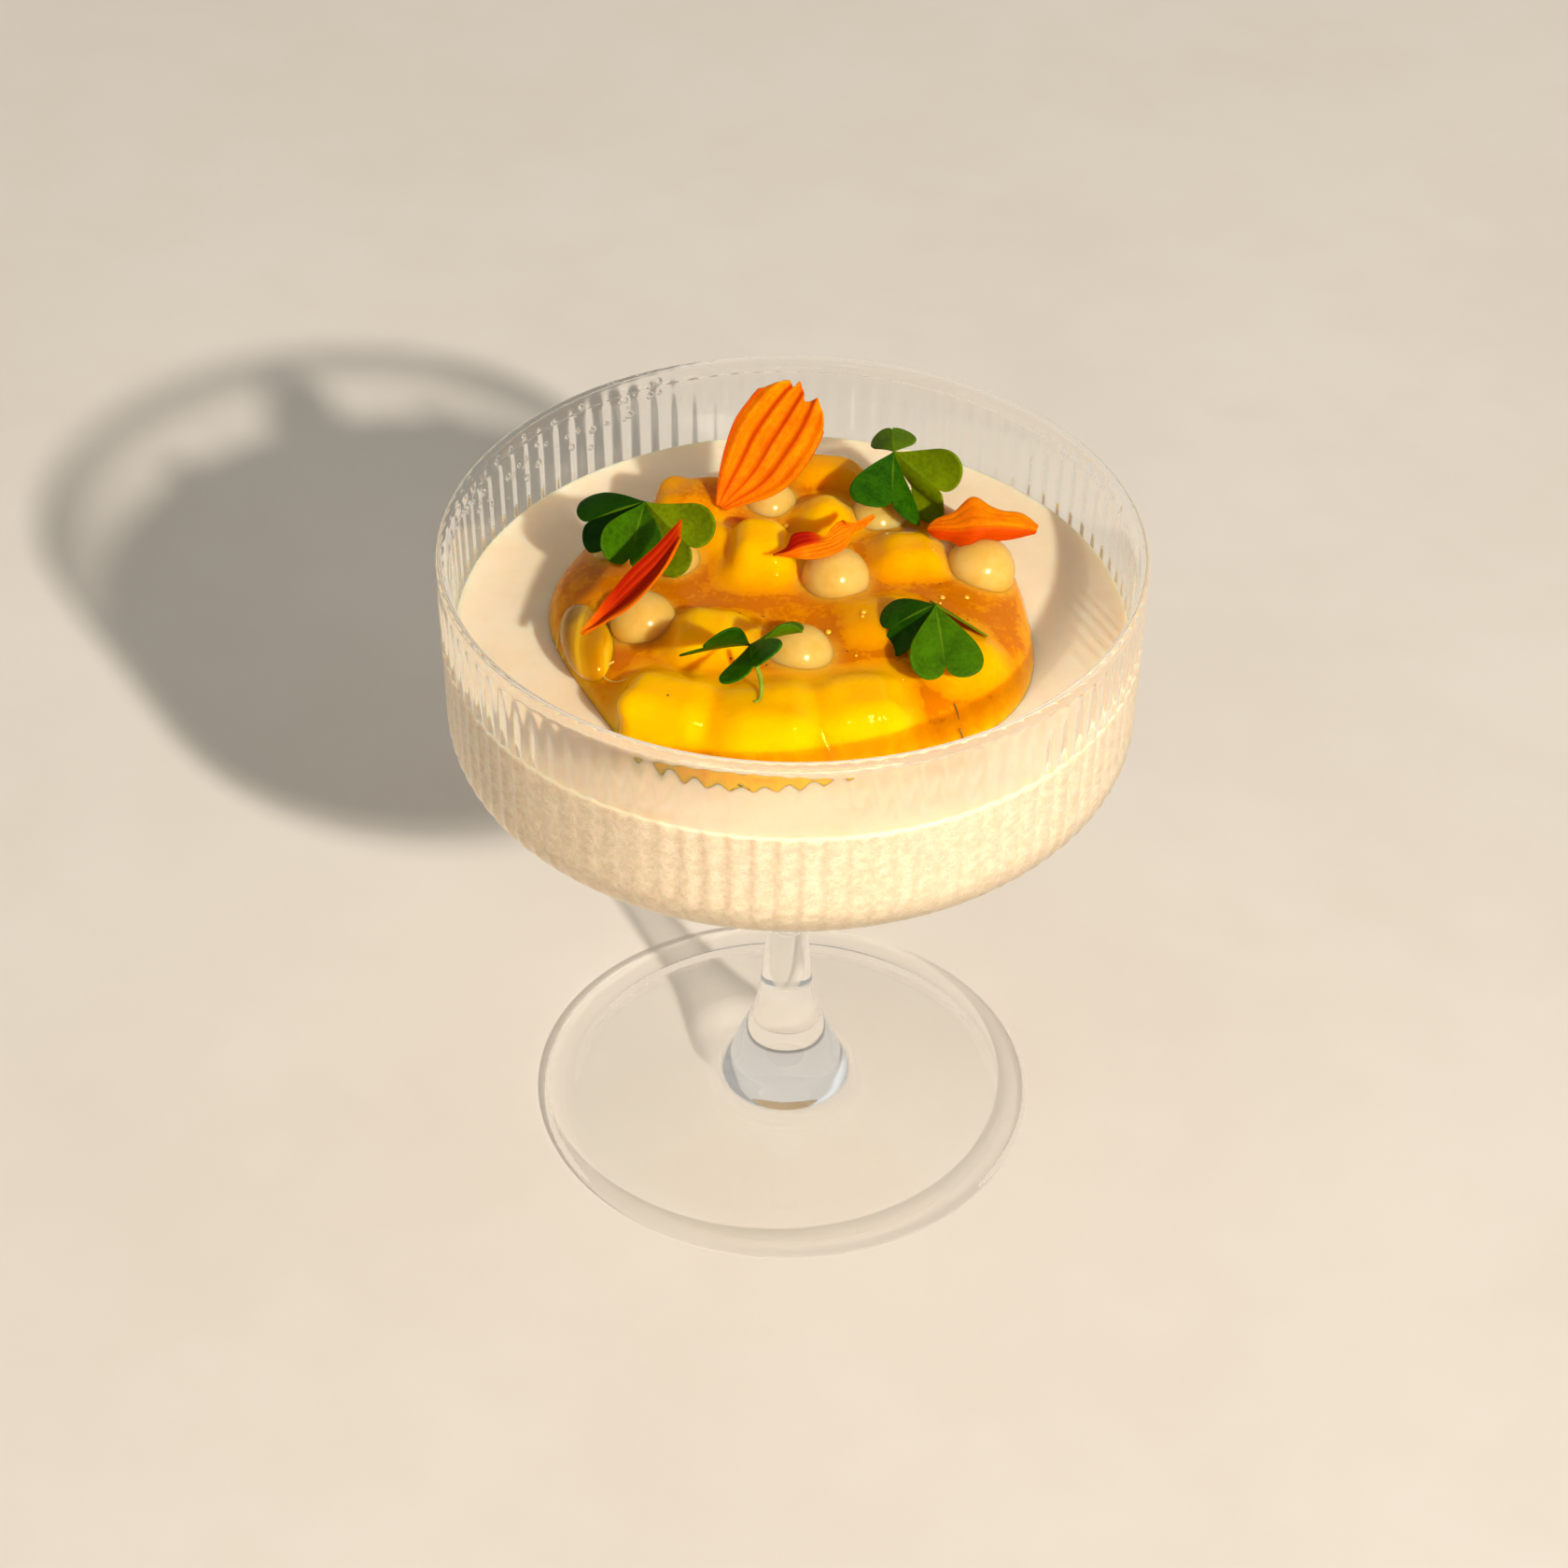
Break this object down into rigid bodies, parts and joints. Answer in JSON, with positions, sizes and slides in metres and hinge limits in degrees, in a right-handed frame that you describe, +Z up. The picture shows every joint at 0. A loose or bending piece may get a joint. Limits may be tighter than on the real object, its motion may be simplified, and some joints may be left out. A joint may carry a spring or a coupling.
{
  "type": "panna cotta in a glass",
  "caption": "Set cream dessert in a ribbed stemmed coupe glass, topped with a mound of mango compote, clear pearls, orange flower petals and wood sorrel.",
  "frame": {"origin": "centre of the foot's resting plane, on the glass's axis", "axes": "+Z up along the glass's axis, -Y towards the front of the dish"},
  "size_m": [0.1042, 0.1042, 0.1212],
  "materials": {
    "clear_glass": "clear polished soda glass, finely ribbed on the outside of the bowl",
    "cream": "warm ivory set cream, satin and slightly translucent",
    "sauce": "glossy translucent orange mango sauce",
    "mango": "bright yellow-orange ripe mango, wet with sauce",
    "jelly": "glossy translucent amber jelly",
    "pearl": "glossy translucent peach-white pearls",
    "flower": "soft matt orange to red-orange petals with lengthwise veins",
    "leaf": "thin matt green leaves, lighter below"
  },
  "bodies": {
    "root": {"glass": "clear_glass", "panna_cotta": "cream", "mango_sauce": "sauce", "jelly_slice": "jelly", "mango_1": "mango", "mango_2": "mango", "mango_3": "mango", "mango_4": "mango", "mango_5": "mango", "mango_6": "mango", "mango_7": "mango", "mango_8": "mango", "mango_9": "mango", "mango_10": "mango", "mango_11": "mango", "mango_12": "mango", "pearl_1": "pearl", "pearl_2": "pearl", "pearl_3": "pearl", "pearl_4": "pearl", "pearl_5": "pearl", "pearl_6": "pearl", "pearl_7": "pearl", "pearl_8": "pearl", "petal_1": "flower", "petal_2": "flower", "petal_3": "flower", "petal_4": "flower", "sprig_1": "leaf", "sprig_2": "leaf", "sprig_3": "leaf", "sprig_4": "leaf"}
  },
  "joints": []
}
